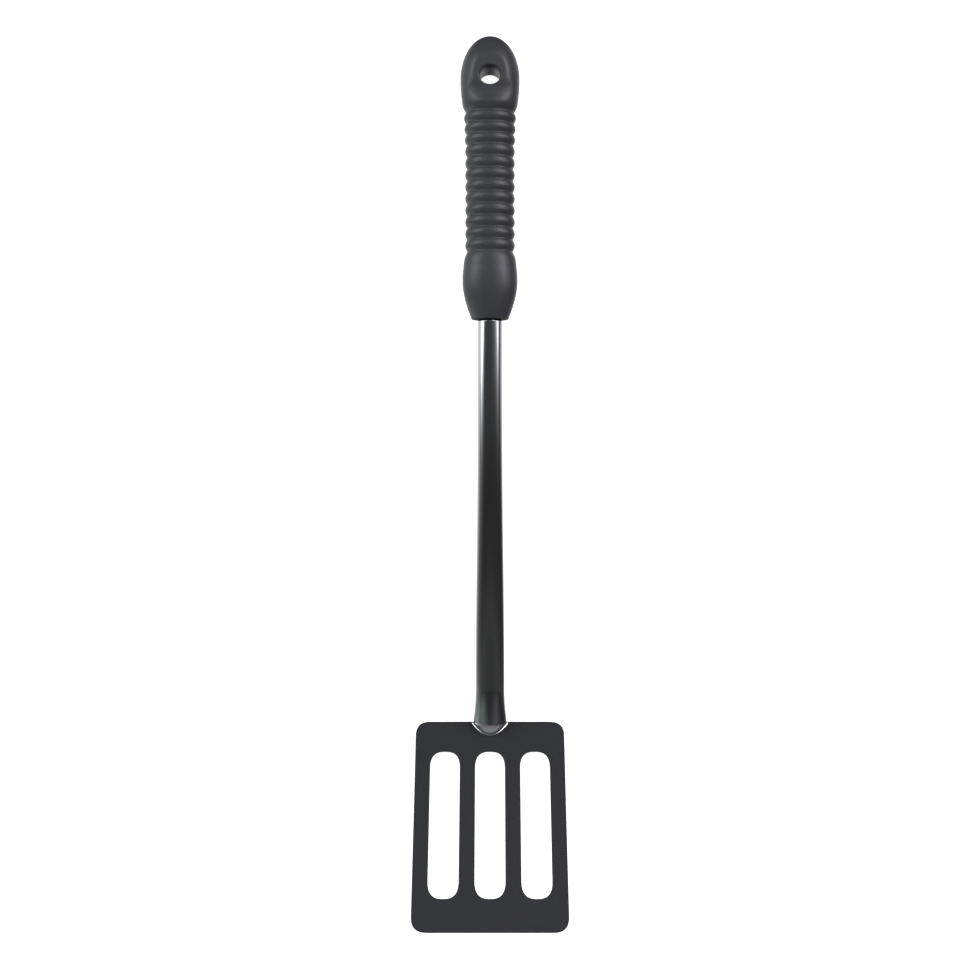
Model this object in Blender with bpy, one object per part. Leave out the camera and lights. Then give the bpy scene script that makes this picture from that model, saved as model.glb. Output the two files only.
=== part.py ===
"""A grill spatula at its real size: a slotted turner blade welded to the pressed foot
of a chromed steel tube, and a ribbed soft grip over a rigid core, with a hanging hole.

Millimetres in the numbers below, metres in the meshes. Two frames are used:

tool frame   origin on the shaft's axis at the mouth of the grip, +Y towards the
             hanging hole, +Z towards the side that faces up when the tool lies down
blade frame  origin at the middle of the blade's heel edge, on its food side, with -Y
             along the blade towards its front edge and +Z out of the food side

The tool lies on its back: the underside of the grip's bulb and the blade's heel rest
on the ground, and the origin is on the ground under the middle of the object's box.
"""

import math

import bmesh
import bpy
from mathutils import Matrix, Vector

MM = 0.001
GAP = 0.3  # between pieces that touch on the real object

# ---- grip: u is the distance from the tip of the handle along its axis
MOUTH_U = 138.1
HOLE_U = 21.1
HOLE_HALF_WIDTH = 4.9
HOLE_HALF_LENGTH = 4.15
HOLE_EDGE_ROUND = 0.6
HOLE_FLARE = 0.6  # the hole opens a little towards each face
HOLE_FLARE_DEPTH = 4.2
EGG_LENGTH = 21.4
EGG_HALF_WIDTH = 14.36
EGG_HALF_DEPTH = 11.5
FLAT_HALF_DEPTH = 9.4  # of the flat faces round the hanging hole
FLAT_END_U = 29.3
FLAT_RUN_OUT = 5.0
FIRST_GROOVE_U = 37.6
RIB_PITCH_NEAR_HOLE = 5.3
RIB_PITCH = 5.72
RIBS_NEAR_HOLE = 3
RIB_COUNT = 12
RIB_HEIGHT = 0.95
GROOVE_HALF_WIDTH = 11.12
GROOVE_EXTRA_AT_HOLE = 0.69  # the grip swells this much towards the hanging hole
BULB_U = 119.2
BULB_HALF_WIDTH = 13.40
DEPTH_RATIO = 0.775  # depth over width of the oval grip
LIP_SLOPE = 0.47

# ---- rigid core inside the grip, and the pin through it
CORE_HALF_WIDTH = 8.8
CORE_HALF_DEPTH = 6.7
CORE_TOP_U = 38.4
CORE_END_U = 135.25
CORE_EYE_RADIUS = 9.4
CORE_EYE_BORE = 6.8
CORE_EYE_HALF_DEPTH = 4.6
TONGUE_HALF_WIDTH = 6.4
TONGUE_HALF_DEPTH = 4.2
PIN_U = 113.0
PIN_RADIUS = 1.5
PIN_BORE = 0.85
PIN_LENGTH = 16.8
PIN_SLOT_DEG = 34.0

# ---- shaft: a round tube that is pressed flat and wide at its foot
TUBE_RADIUS = 6.1
TUBE_WALL = 1.0
NECK_RADIUS = 4.6  # the tube steps down where it enters the grip
NECK_TOP_U = 73.0
SHOULDER_U = 139.4
SEAL_RADIUS = 5.6
SEAL_START_U = 135.55
HEEL_U = 336.25
SWELL_START_U = 191.0
SWELL_END_U = 316.5
SWELL = 1.0
FLARE_START_U = 319.5
FLARE = 1.25
TUBE_CAVITY_END_U = 328.5

# ---- blade
BLADE_WIDTH = 73.2
BLADE_LENGTH = 101.4
BLADE_THICKNESS = 1.5
BLADE_TILT_DEG = 30.1  # between the shaft's axis and the blade
BLADE_CORNER_WIDTH = 8.0
BLADE_CORNER_LENGTH = 7.6
BLADE_CORNER_POWER = 2.7
SLOT_COUNT = 3
SLOT_MARGIN = 15.15  # from the heel and from the front edge
SLOT_END_LENGTH = 9.0
SLOT_END_POWER = 2.7
SLOT_TRIM = 0.08  # each side of a slot stands in by this much
# margin, slot and web share the width as 1 : 2 : 1 : 2 : 1 : 2 : 1
BLADE_UNIT = BLADE_WIDTH / (3 * SLOT_COUNT + 1)

# ---- the welds that join foot and blade
WELD_RADIUS = 0.5
WELD_HALF_WIDTH = 8.94
WELD_REACH = 6.85  # how far down the blade the foot's weld goes
NOSE_CLEARANCE = 1.25  # between the weld's centre line and the foot's nose
NOSE_SLOPE = 0.44
NOSE_SLOPE_LAG = 0.28
PRESSED_FLARE = 0.45  # the flare flattens the foot by this share of its girth
HEEL_WELD_RADIUS = 0.4
HEEL_WELD_LENGTH = 10.0


# ------------------------------------------------------------------ helpers
def clear_scene():
    for old in list(bpy.data.objects):
        bpy.data.objects.remove(old, do_unlink=True)


def material(name, colour, metallic, roughness):
    made = bpy.data.materials.new(name)
    made.use_nodes = True
    shader = made.node_tree.nodes["Principled BSDF"]
    shader.inputs["Base Color"].default_value = (*colour, 1.0)
    shader.inputs["Metallic"].default_value = metallic
    shader.inputs["Roughness"].default_value = roughness
    made.diffuse_color = (*colour, 1.0)
    return made


def add_object(name, bm, mat=None, parent=None):
    """A new object from a bmesh in millimetres."""
    bmesh.ops.scale(bm, vec=(MM, MM, MM), verts=bm.verts)
    bmesh.ops.recalc_face_normals(bm, faces=bm.faces)
    mesh = bpy.data.meshes.new(name)
    bm.to_mesh(mesh)
    bm.free()
    made = bpy.data.objects.new(name, mesh)
    bpy.context.scene.collection.objects.link(made)
    if mat:
        mesh.materials.append(mat)
    made.parent = parent
    mesh.shade_smooth()
    mesh.set_sharp_from_angle(angle=math.radians(35))
    return made


def cutter(name, bm, parent=None):
    made = add_object(name, bm, parent=parent)
    made.hide_render = True
    made.display_type = "WIRE"
    return made


def combine(target, other, operation):
    modifier = target.modifiers.new(other.name, "BOOLEAN")
    modifier.operation = operation
    modifier.solver = "EXACT"
    modifier.object = other
    return modifier


def oval(half_x, half_z, count, power=2.0, centre_z=0.0):
    """Points of a superellipse in the XZ plane."""
    points = []
    for i in range(count):
        angle = 2 * math.pi * i / count
        c, s = math.cos(angle), math.sin(angle)
        x = math.copysign(abs(c) ** (2 / power), c) * half_x
        z = math.copysign(abs(s) ** (2 / power), s) * half_z
        points.append((x, centre_z + z))
    return points


def loft_y(sections):
    """A closed skin over (y, [(x, z), ...]) sections in the order given. The first
    and the last are capped."""
    bm = bmesh.new()
    rings = [[bm.verts.new((x, y, z)) for x, z in points] for y, points in sections]
    count = len(rings[0])
    for a, b in zip(rings, rings[1:]):
        for i in range(count):
            j = (i + 1) % count
            bm.faces.new((a[i], a[j], b[j], b[i]))
    bm.faces.new(rings[0])
    bm.faces.new(rings[-1])
    bmesh.ops.recalc_face_normals(bm, faces=bm.faces)
    return bm


def loft_z(sections):
    """As loft_y, over (z, [(x, y), ...]) sections."""
    bm = loft_y([(z, points) for z, points in sections])
    for v in bm.verts:
        v.co = Vector((v.co.x, v.co.z, v.co.y))
    bmesh.ops.recalc_face_normals(bm, faces=bm.faces)
    return bm


def prism(outline, low, high):
    return loft_z([(low, outline), (high, outline)])


def along(u):
    """The tool frame's Y of a point at distance u from the handle's tip."""
    return MOUTH_U - u


def smoothstep(t):
    t = min(1.0, max(0.0, t))
    return t * t * (3 - 2 * t)


def soft_min(a, b, radius):
    """The smaller of two heights, with the corner between them rounded."""
    h = max(radius - abs(a - b), 0.0) / radius
    return min(a, b) - h * h * radius / 4


# ------------------------------------------------------------------ grip shape
def groove_places():
    places = [FIRST_GROOVE_U]
    for i in range(RIB_COUNT):
        step = RIB_PITCH_NEAR_HOLE if i < RIBS_NEAR_HOLE else RIB_PITCH
        places.append(places[-1] + step)
    return places


GROOVES = groove_places()


def groove_half_width(u):
    fade = max(0.0, 1 - (u - FIRST_GROOVE_U) / 18.0)
    return GROOVE_HALF_WIDTH + GROOVE_EXTRA_AT_HOLE * min(1.0, fade)


def grip_half_width(u):
    """Half the width of the grip at distance u from its tip."""
    first, last = GROOVES[0], GROOVES[-1]
    if u <= EGG_LENGTH:
        t = (EGG_LENGTH - u) / EGG_LENGTH
        return EGG_HALF_WIDTH * math.sqrt(max(0.0, 1 - t**2.07))
    if u < first:
        body = EGG_HALF_WIDTH - 1.04 * ((u - EGG_LENGTH) / 12.78) ** 2
        lip = groove_half_width(first) + 1.2 * LIP_SLOPE * (first - u)
        return soft_min(body, lip, 0.6)
    if u <= last:
        for low, high in zip(GROOVES, GROOVES[1:]):
            if u <= high:
                s = 2 * (u - low) / (high - low) - 1
                return groove_half_width(u) + RIB_HEIGHT * (1 - s * s)
    lip = groove_half_width(last) + 1.2 * LIP_SLOPE * (u - last)
    d = abs(u - BULB_U)
    if u < BULB_U:
        body = BULB_HALF_WIDTH - 0.0082 * d * d - 0.09 * math.exp(-(((d - 6.0) / 1.6) ** 2))
    else:
        body = BULB_HALF_WIDTH - 0.58 * (math.hypot(d, 19.0) - 19.0)
    return soft_min(body, lip, 0.6)


def grip_half_depth(u):
    """Half the depth. The egg-shaped end is a little flatter than the rest."""
    if u <= EGG_LENGTH:
        t = (EGG_LENGTH - u) / EGG_LENGTH
        return EGG_HALF_DEPTH * math.sqrt(max(0.0, 1 - t * t))
    ratio = EGG_HALF_DEPTH / EGG_HALF_WIDTH
    ratio += (DEPTH_RATIO - ratio) * smoothstep((u - EGG_LENGTH) / 25.0)
    return grip_half_width(u) * ratio


def flat_half_depth(u):
    """The flat faces round the hanging hole, which run out before the ribs."""
    return FLAT_HALF_DEPTH + 2.0 * smoothstep((u - FLAT_END_U) / FLAT_RUN_OUT)


def grip_stations():
    """Distances from the tip at which the grip's skin has a ring of points."""
    stations = [0.12, 0.6, 1.5, 3.0, 5.2, 8.2, 12.0, 16.5, EGG_LENGTH]
    stations += [EGG_LENGTH + d for d in (2.8, 5.6, 8.4, 11.7, 13.7, 15.1)]
    for low, high in zip(GROOVES, GROOVES[1:]):
        stations += [low + (high - low) * t for t in (0.0, 0.22, 0.5, 0.78)]
    stations.append(GROOVES[-1])
    stations += [GROOVES[-1] + d for d in (1.6, 3.4, 5.6, 9.5)]
    stations += [BULB_U + d for d in (0.0, 3.0, 6.0, 9.0, 12.0, 15.0)]
    stations.append(MOUTH_U - 0.8)
    return stations


def grip_skin(count=28):
    sections = []
    for u in grip_stations():
        flat = flat_half_depth(u)
        section = oval(grip_half_width(u), grip_half_depth(u), count)
        section = [(x, max(-flat, min(flat, z))) for x, z in section]
        sections.append((along(u), section))
    edge = 0.75
    a, b = grip_half_width(MOUTH_U) - edge, grip_half_depth(MOUTH_U) - edge
    sections.append((along(MOUTH_U - 0.2), oval(a + 0.5, b + 0.5, count)))
    sections.append((along(MOUTH_U), oval(a, b, count)))
    return loft_y(sections)


def hanging_hole(count=24):
    """The hole through the egg-shaped end, flared where it meets the skin."""
    face = FLAT_HALF_DEPTH
    profile = [
        (face + 2.5, HOLE_FLARE + HOLE_EDGE_ROUND + 1.6),
        (face, HOLE_FLARE + HOLE_EDGE_ROUND),
        (face - 0.2, HOLE_FLARE + 0.2),
        (face - HOLE_EDGE_ROUND, HOLE_FLARE - 0.1),
        (face - HOLE_FLARE_DEPTH, 0.0),
    ]
    levels = profile + [(-z, more) for z, more in reversed(profile)]
    sections = []
    for z, more in levels:
        ring = oval(HOLE_HALF_WIDTH + more, HOLE_HALF_LENGTH + more, count)
        sections.append((z, [(x, along(HOLE_U) + y) for x, y in ring]))
    return loft_z(sections)


# ------------------------------------------------------------------ core shape
def core_rod(more, count=24):
    """The core's rod, or with more above 0 the hollow that it fills in the grip."""
    levels = (
        (CORE_TOP_U - more, 0.80),
        (CORE_TOP_U + 2.5, 0.97),
        (CORE_TOP_U + 6.0, 1.0),
        (CORE_END_U - 8.2, 1.0),
        (CORE_END_U - 3.7, 0.955),
        (CORE_END_U + more, 0.885),
    )
    sections = []
    for u, share in levels:
        a = CORE_HALF_WIDTH * share + more
        b = CORE_HALF_DEPTH * share + more
        sections.append((along(u), oval(a, b, count, 2.2)))
    return loft_y(sections)


def core_eye(more, count=28):
    y = along(HOLE_U)
    ring = [(x, y + z) for x, z in oval(CORE_EYE_RADIUS + more, CORE_EYE_RADIUS + more, count)]
    return prism(ring, -CORE_EYE_HALF_DEPTH - more, CORE_EYE_HALF_DEPTH + more)


def core_tongue(more):
    a, b = TONGUE_HALF_WIDTH + more, TONGUE_HALF_DEPTH + more
    top, bottom = along(HOLE_U + CORE_EYE_RADIUS - 2.2), along(CORE_TOP_U + 3.0)
    outline = [(-a, bottom), (a, bottom), (a, top), (-a, top)]
    return prism(outline, -b, b)


def round_bar(axis, radius, low, high, place, count=24):
    """A cylinder along Y (place is x, z), along Z (place is x, y) or along X (place is y, z)."""
    ring = oval(radius, radius, count)
    if axis == "Y":
        points = [(place[0] + x, place[1] + z) for x, z in ring]
        return loft_y([(low, points), (high, points)])
    if axis == "Z":
        return prism([(place[0] + x, place[1] + y) for x, y in ring], low, high)
    bm = prism([(place[0] + a, place[1] + b) for a, b in ring], low, high)
    for v in bm.verts:
        v.co = Vector((v.co.z, v.co.x, v.co.y))
    return bm


# ------------------------------------------------------------------ shaft shape
def tube_widening(u):
    """How much wider than the plain tube each side is: from the press, and from the
    flare at the foot."""
    swell = SWELL * smoothstep((u - SWELL_START_U) / (SWELL_END_U - SWELL_START_U))
    flare = 0.0
    if u > FLARE_START_U:
        flare = FLARE * ((u - FLARE_START_U) / (HEEL_U - FLARE_START_U)) ** 1.8
    return swell, flare


def tube_half_width(u):
    return TUBE_RADIUS + sum(tube_widening(u))


def girth(a, b):
    """The length round an ellipse with half-axes a and b."""
    return math.pi * (3 * (a + b) - math.sqrt((3 * a + b) * (a + 3 * b)))


def tube_half_depth(u):
    """Pressing the tube wider keeps its girth, so it gets shallower."""
    swell, flare = tube_widening(u)
    wide = TUBE_RADIUS + swell + PRESSED_FLARE * flare
    low, high = 0.5, TUBE_RADIUS
    for _ in range(40):
        middle = (low + high) / 2
        if girth(wide, middle) < girth(TUBE_RADIUS, TUBE_RADIUS):
            low = middle
        else:
            high = middle
    return high


def tube_centre_z(u):
    """The press acts from above, so the underside stays one straight line."""
    return tube_half_depth(u) - TUBE_RADIUS


def tube_skin(count=24):
    """One skin: the bore from its blind end up to the open top, over the rim, down
    the outside and round the closed nose of the foot."""
    sections = []
    before_heel = (10.0, 17.0, 30.0, 50.0, 80.0, 115.0, HEEL_U - SWELL_START_U)
    stations = [HEEL_U - d for d in before_heel] + [SHOULDER_U + 3.0]
    bore_end = tube_bore(TUBE_CAVITY_END_U, 0.75, count)
    sections.append((along(TUBE_CAVITY_END_U), bore_end))
    for u in stations:
        sections.append((along(u), tube_bore(u, 1.0, count)))
    neck_bore = oval(NECK_RADIUS - TUBE_WALL, NECK_RADIUS - TUBE_WALL, count)
    sections.append((along(SHOULDER_U + 1.0), neck_bore))
    sections.append((along(NECK_TOP_U), neck_bore))
    for u, radius in (
        (NECK_TOP_U, NECK_RADIUS - 0.3),
        (NECK_TOP_U + 0.4, NECK_RADIUS),
        (SHOULDER_U, NECK_RADIUS),
        (SHOULDER_U, TUBE_RADIUS - 0.35),
        (SHOULDER_U + 0.35, TUBE_RADIUS),
    ):
        sections.append((along(u), oval(radius, radius, count)))
    before_heel = (145.5, 121.0, 101.0, 80.0, 61.0, 42.0, 28.0, 17.0, 13.0, 9.0, 6.0, 3.5, 1.5, 0.0)
    for u in [HEEL_U - d for d in before_heel]:
        a, b = tube_half_width(u), tube_half_depth(u)
        sections.append((along(u), oval(a, b, count, centre_z=tube_centre_z(u))))
    for step in (0.12, 0.28, 0.45, 0.62, 0.78, 0.9, 0.97):
        sections.append(nose_section(step, count))
    return loft_y(sections)


def tube_bore(u, share, count):
    a = (tube_half_width(u) - TUBE_WALL) * share
    b = (tube_half_depth(u) - TUBE_WALL) * share
    return oval(a, b, count, centre_z=tube_centre_z(u))


def nose_top(step):
    """The ridge of the nose: it slopes down towards the blade, and rounds over until
    it stands upright on it."""
    reach = (WELD_REACH - NOSE_CLEARANCE) * math.cos(math.radians(BLADE_TILT_DEG))
    start = tube_centre_z(HEEL_U) + tube_half_depth(HEEL_U)
    end = -TUBE_RADIUS + reach * math.tan(math.radians(BLADE_TILT_DEG))

    def fall(t):
        return reach * (NOSE_SLOPE * t - NOSE_SLOPE_LAG * 0.2 * (1 - math.exp(-t / 0.2)))

    drop = 1 - (1 - step**18) ** (1 / 18)
    return start - fall(step) - (start - fall(1.0) - end) * drop


def nose_section(step, count):
    """The closed end of the foot, over the blade. step runs from 0 at the heel to 1."""
    slope = math.tan(math.radians(BLADE_TILT_DEG))
    reach = (WELD_REACH - NOSE_CLEARANCE) * math.cos(math.radians(BLADE_TILT_DEG))
    y = along(HEEL_U) - step * reach
    face = -TUBE_RADIUS + step * reach * slope
    heel_z = tube_centre_z(HEEL_U)
    centre = heel_z + (face - 0.2 - heel_z) * step
    full = tube_half_width(HEEL_U)
    a = full * math.sqrt(1 - step) * (1 - 0.12 * step)
    high = max(nose_top(step) - centre, 0.15)
    power = 6.0 + 18.0 * (1 - smoothstep(step / 0.5))
    points = []
    for i in range(count):
        c, s = math.cos(2 * math.pi * i / count), math.sin(2 * math.pi * i / count)
        x = a * c
        share = max(0.0, 1 - abs(c) ** power) ** (1 / power) * math.sqrt(1 - (x / full) ** 2)
        points.append((x, centre + math.copysign(share * high, s)))
    return (y, points)


# ------------------------------------------------------------------ blade shape
def corner(centre_x, centre_y, a, b, power, start_deg, steps):
    """A quarter of a superellipse about a centre, from start_deg on."""
    points = []
    for i in range(steps + 1):
        angle = math.radians(start_deg + 90 * i / steps)
        c, s = math.cos(angle), math.sin(angle)
        x = centre_x + math.copysign(abs(c) ** (2 / power), c) * a
        y = centre_y + math.copysign(abs(s) ** (2 / power), s) * b
        points.append((x, y))
    return points


def soft_rectangle(x0, x1, y0, y1, a, b, power, steps):
    """An outline with superellipse corners a wide and b long."""
    points = corner(x1 - a, y1 - b, a, b, power, 0, steps)
    points += corner(x0 + a, y1 - b, a, b, power, 90, steps)
    points += corner(x0 + a, y0 + b, a, b, power, 180, steps)
    points += corner(x1 - a, y0 + b, a, b, power, 270, steps)
    kept = []
    for p in points:
        if not kept or math.dist(p, kept[-1]) > 1e-4:
            kept.append(p)
    if math.dist(kept[0], kept[-1]) < 1e-4:
        kept.pop()
    return kept


def slot_outline(index):
    x0 = -BLADE_WIDTH / 2 + BLADE_UNIT * (1 + 3 * index) + SLOT_TRIM
    x1 = x0 + 2 * (BLADE_UNIT - SLOT_TRIM)
    return soft_rectangle(
        x0, x1, -BLADE_LENGTH + SLOT_MARGIN, -SLOT_MARGIN,
        BLADE_UNIT - SLOT_TRIM, SLOT_END_LENGTH, SLOT_END_POWER, 7,
    )


def weld_line(x):
    """Distance down the blade of the foot's weld, at x across it."""
    return WELD_REACH * (1 - (x / WELD_HALF_WIDTH) ** 2)


def bead(name, points, radius, mat, parent):
    curve = bpy.data.curves.new(name, "CURVE")
    curve.dimensions = "3D"
    curve.bevel_depth = radius * MM
    curve.bevel_resolution = 1
    curve.use_fill_caps = True
    spline = curve.splines.new("POLY")
    spline.points.add(len(points) - 1)
    for point, co in zip(spline.points, points):
        point.co = (co[0] * MM, co[1] * MM, co[2] * MM, 1.0)
    made = bpy.data.objects.new(name, curve)
    bpy.context.scene.collection.objects.link(made)
    curve.materials.append(mat)
    made.parent = parent
    return made


# ------------------------------------------------------------------ building
def build_blade(tool, coating):
    outline = soft_rectangle(
        -BLADE_WIDTH / 2, BLADE_WIDTH / 2, -BLADE_LENGTH, 0.0,
        BLADE_CORNER_WIDTH, BLADE_CORNER_LENGTH, BLADE_CORNER_POWER, 6,
    )
    blade = add_object("blade", prism(outline, -BLADE_THICKNESS, 0.0), coating, tool)
    blade.location = (0.0, along(HEEL_U) * MM, -TUBE_RADIUS * MM)
    blade.rotation_euler = (-math.radians(BLADE_TILT_DEG), 0.0, 0.0)
    for index in range(SLOT_COUNT):
        hole = cutter(
            f"slot_cutter_{index + 1}",
            prism(slot_outline(index), -BLADE_THICKNESS - 3, 3.0),
            blade,
        )
        combine(blade, hole, "DIFFERENCE")
    edges = blade.modifiers.new("edges", "BEVEL")
    edges.width = 0.2 * MM
    edges.segments = 1
    edges.limit_method = "ANGLE"
    edges.angle_limit = math.radians(60)
    return blade


def build_shaft(tool, blade, chrome):
    tube = add_object("shaft_tube", tube_skin(), chrome, tool)
    block = prism(
        [(-30.0, -30.0), (30.0, -30.0), (30.0, GAP), (-30.0, GAP)], -12.0, GAP
    )
    combine(tube, cutter("blade_clearance", block, blade), "DIFFERENCE")
    drill = round_bar(
        "X", PIN_RADIUS + GAP, -9.5, 9.5, (along(PIN_U), 0.0), 16
    )
    combine(tube, cutter("pin_drill_tube", drill, tool), "DIFFERENCE")
    return tube


def build_welds(blade, tube_parent, steel):
    lift = GAP + WELD_RADIUS
    points = []
    for i in range(21):
        x = 8.3 * math.cos(math.pi * i / 20)
        points.append((x, -weld_line(x), lift))
    bead("foot_weld", points, WELD_RADIUS, steel, blade)
    tilt = math.radians(BLADE_TILT_DEG)
    back = GAP + HEEL_WELD_RADIUS + 0.35
    down = GAP + HEEL_WELD_RADIUS
    y = along(HEEL_U) + back * math.cos(tilt) - 0.15
    z = -TUBE_RADIUS - down
    half = HEEL_WELD_LENGTH / 2
    bead(
        "heel_weld",
        [(half * (2 * i / 6 - 1), y, z) for i in range(7)],
        HEEL_WELD_RADIUS,
        steel,
        tube_parent,
    )


def build_grip(tool, rubber):
    grip = add_object("grip", grip_skin(), rubber, tool)
    hollow = cutter("core_hollow", core_rod(GAP), tool)
    tongue_room = cutter("tongue_room", core_tongue(GAP), tool)
    eye_room = cutter("eye_room", core_eye(GAP), tool)
    post = cutter(
        "eye_post",
        round_bar("Z", CORE_EYE_BORE - GAP, -12.0, 12.0, (0.0, along(HOLE_U)), 24),
        tool,
    )
    combine(eye_room, post, "DIFFERENCE")
    combine(tongue_room, eye_room, "UNION")
    combine(hollow, tongue_room, "UNION")
    combine(grip, hollow, "DIFFERENCE")
    mouth = round_bar(
        "Y", SEAL_RADIUS + GAP, along(MOUTH_U + 2), along(CORE_END_U - 1.0), (0.0, 0.0)
    )
    combine(grip, cutter("mouth_opening", mouth, tool), "DIFFERENCE")
    combine(grip, cutter("hanging_hole", hanging_hole(), tool), "DIFFERENCE")
    return grip


def build_core(tool, nylon):
    core = add_object("handle_core", core_rod(0.0), nylon, tool)
    tongue = cutter("core_tongue", core_tongue(0.0), tool)
    eye = cutter("core_eye", core_eye(0.0), tool)
    combine(tongue, eye, "UNION")
    combine(core, tongue, "UNION")
    bore = round_bar("Z", CORE_EYE_BORE, -12.0, 12.0, (0.0, along(HOLE_U)), 24)
    combine(core, cutter("eye_bore", bore, tool), "DIFFERENCE")
    socket = round_bar(
        "Y", NECK_RADIUS + GAP, along(MOUTH_U + 2), along(NECK_TOP_U - 0.6), (0.0, 0.0)
    )
    combine(core, cutter("tube_socket", socket, tool), "DIFFERENCE")
    drill = round_bar("X", PIN_RADIUS + GAP, -12.0, 12.0, (along(PIN_U), 0.0), 16)
    combine(core, cutter("pin_drill_core", drill, tool), "DIFFERENCE")
    return core


def build_pin(tool, steel):
    """A rolled spring pin: a tube with one lengthwise slot."""
    steps = 14
    gap = math.radians(PIN_SLOT_DEG) / 2
    angles = [gap + (2 * math.pi - 2 * gap) * i / steps for i in range(steps + 1)]
    outer = [(PIN_RADIUS * math.cos(a), PIN_RADIUS * math.sin(a)) for a in angles]
    inner = [(PIN_BORE * math.cos(a), PIN_BORE * math.sin(a)) for a in reversed(angles)]
    bm = prism(outer + inner, -PIN_LENGTH / 2, PIN_LENGTH / 2)
    for v in bm.verts:
        v.co = Vector((v.co.z, v.co.x, v.co.y))
    pin = add_object("retaining_pin", bm, steel, tool)
    pin.location = (0.0, along(PIN_U) * MM, 0.0)
    return pin


def build_seal(tool, black):
    count = 28
    outer, inner = SEAL_RADIUS, NECK_RADIUS + GAP
    start, end = along(SEAL_START_U), along(SHOULDER_U - GAP)
    rows = [
        (start, outer - 0.2), (start - 0.25, outer), (end + 0.2, outer),
        (end, outer - 0.2), (end, inner), (start, inner),
    ]
    bm = bmesh.new()
    rings = [
        [bm.verts.new((x, y, z)) for x, z in oval(radius, radius, count)]
        for y, radius in rows
    ]
    for a, b in zip(rings, rings[1:] + rings[:1]):
        for i in range(count):
            j = (i + 1) % count
            bm.faces.new((a[i], a[j], b[j], b[i]))
    return add_object("mouth_seal", bm, black, tool)


# ------------------------------------------------------------------ lying down
def points_in(frame, pieces):
    """The pieces' evaluated points in that object's frame."""
    graph = bpy.context.evaluated_depsgraph_get()
    back = frame.matrix_world.inverted()
    found = []
    for piece in pieces:
        shown = piece.evaluated_get(graph)
        mesh = shown.to_mesh()
        place = back @ shown.matrix_world
        found += [place @ v.co for v in mesh.vertices]
        shown.to_mesh_clear()
    return found


def lay_down(tool, front, rear, everything):
    """Turns the tool about X until the front and the rear piece rest on one level
    ground, and puts the origin under the middle of its box."""
    front_points, rear_points = points_in(tool, [front]), points_in(tool, [rear])

    def lowest(points, angle):
        c, s = math.cos(angle), math.sin(angle)
        return min(p.y * s + p.z * c for p in points)

    low, high = 0.0, math.radians(5)
    for _ in range(40):
        middle = (low + high) / 2
        if lowest(front_points, middle) > lowest(rear_points, middle):
            low = middle
        else:
            high = middle
    tool.rotation_euler = (low, 0.0, 0.0)
    turn = Matrix.Rotation(low, 3, "X")
    placed = [turn @ p for p in points_in(tool, everything)]
    front_y = min(p.y for p in placed)
    back_y = max(p.y for p in placed)
    tool.location = (0.0, -(front_y + back_y) / 2, -min(p.z for p in placed))


def build():
    clear_scene()
    coating = material("nonstick_coating", (0.035, 0.036, 0.039), 0.0, 0.5)
    chrome = material("chromed_steel", (0.82, 0.82, 0.83), 1.0, 0.06)
    weld_steel = material("polished_weld", (0.78, 0.78, 0.79), 1.0, 0.15)
    rubber = material("soft_grip", (0.04, 0.041, 0.044), 0.0, 0.55)
    nylon = material("rigid_core", (0.02, 0.02, 0.021), 0.0, 0.45)
    pin_steel = material("spring_steel", (0.45, 0.45, 0.46), 1.0, 0.35)
    black = material("black_seal", (0.006, 0.006, 0.006), 0.0, 0.7)

    tool = bpy.data.objects.new("tool_frame", None)
    bpy.context.scene.collection.objects.link(tool)
    blade = build_blade(tool, coating)
    tube = build_shaft(tool, blade, chrome)
    build_welds(blade, tool, weld_steel)
    grip = build_grip(tool, rubber)
    core = build_core(tool, nylon)
    pin = build_pin(tool, pin_steel)
    seal = build_seal(tool, black)
    bpy.context.view_layer.update()
    lay_down(tool, blade, grip, [blade, tube, grip, core, pin, seal])
    bpy.context.view_layer.update()


build()
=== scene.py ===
"""The looks of a grill spatula that lies on its back on a pale surface.

Lengths are in millimetres until a mesh is made, which is in metres. Three frames are used:

world        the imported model's frame: the spatula lies along Y with its blade towards -Y
tool frame   origin on the shaft's axis at the mouth of the grip, +Y towards the
             hanging hole, +Z towards the side that faces up
blade frame  origin at the middle of the blade's heel edge, on its food side, with -Y
             along the blade towards its front edge and +Z out of the food side
"""

import math

import bmesh
import bpy
import numpy as np
from mathutils import Matrix, Vector


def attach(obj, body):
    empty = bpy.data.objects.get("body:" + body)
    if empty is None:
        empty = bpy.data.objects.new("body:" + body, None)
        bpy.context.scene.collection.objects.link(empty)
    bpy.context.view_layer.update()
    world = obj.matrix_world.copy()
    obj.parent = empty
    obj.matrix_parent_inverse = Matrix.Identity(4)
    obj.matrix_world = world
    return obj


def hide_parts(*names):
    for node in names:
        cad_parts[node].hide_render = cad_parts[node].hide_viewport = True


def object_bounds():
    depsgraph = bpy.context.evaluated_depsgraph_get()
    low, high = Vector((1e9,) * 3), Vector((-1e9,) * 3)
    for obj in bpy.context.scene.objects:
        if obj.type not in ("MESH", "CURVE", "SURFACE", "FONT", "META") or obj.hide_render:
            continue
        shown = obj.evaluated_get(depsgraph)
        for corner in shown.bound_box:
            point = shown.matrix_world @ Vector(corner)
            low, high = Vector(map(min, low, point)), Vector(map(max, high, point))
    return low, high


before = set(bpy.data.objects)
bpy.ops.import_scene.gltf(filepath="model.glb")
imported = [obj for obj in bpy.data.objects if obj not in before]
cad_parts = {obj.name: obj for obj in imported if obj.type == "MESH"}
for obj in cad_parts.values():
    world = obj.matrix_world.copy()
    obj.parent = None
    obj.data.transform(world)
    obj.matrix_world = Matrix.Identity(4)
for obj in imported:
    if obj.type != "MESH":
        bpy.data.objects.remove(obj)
cad_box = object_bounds()
MM = 0.001

# ---- how the tool lies: its frame in the world
TOOL_TILT = math.radians(0.811529)
TOOL_Y = 74.567
TOOL_Z = 10.116

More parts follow.
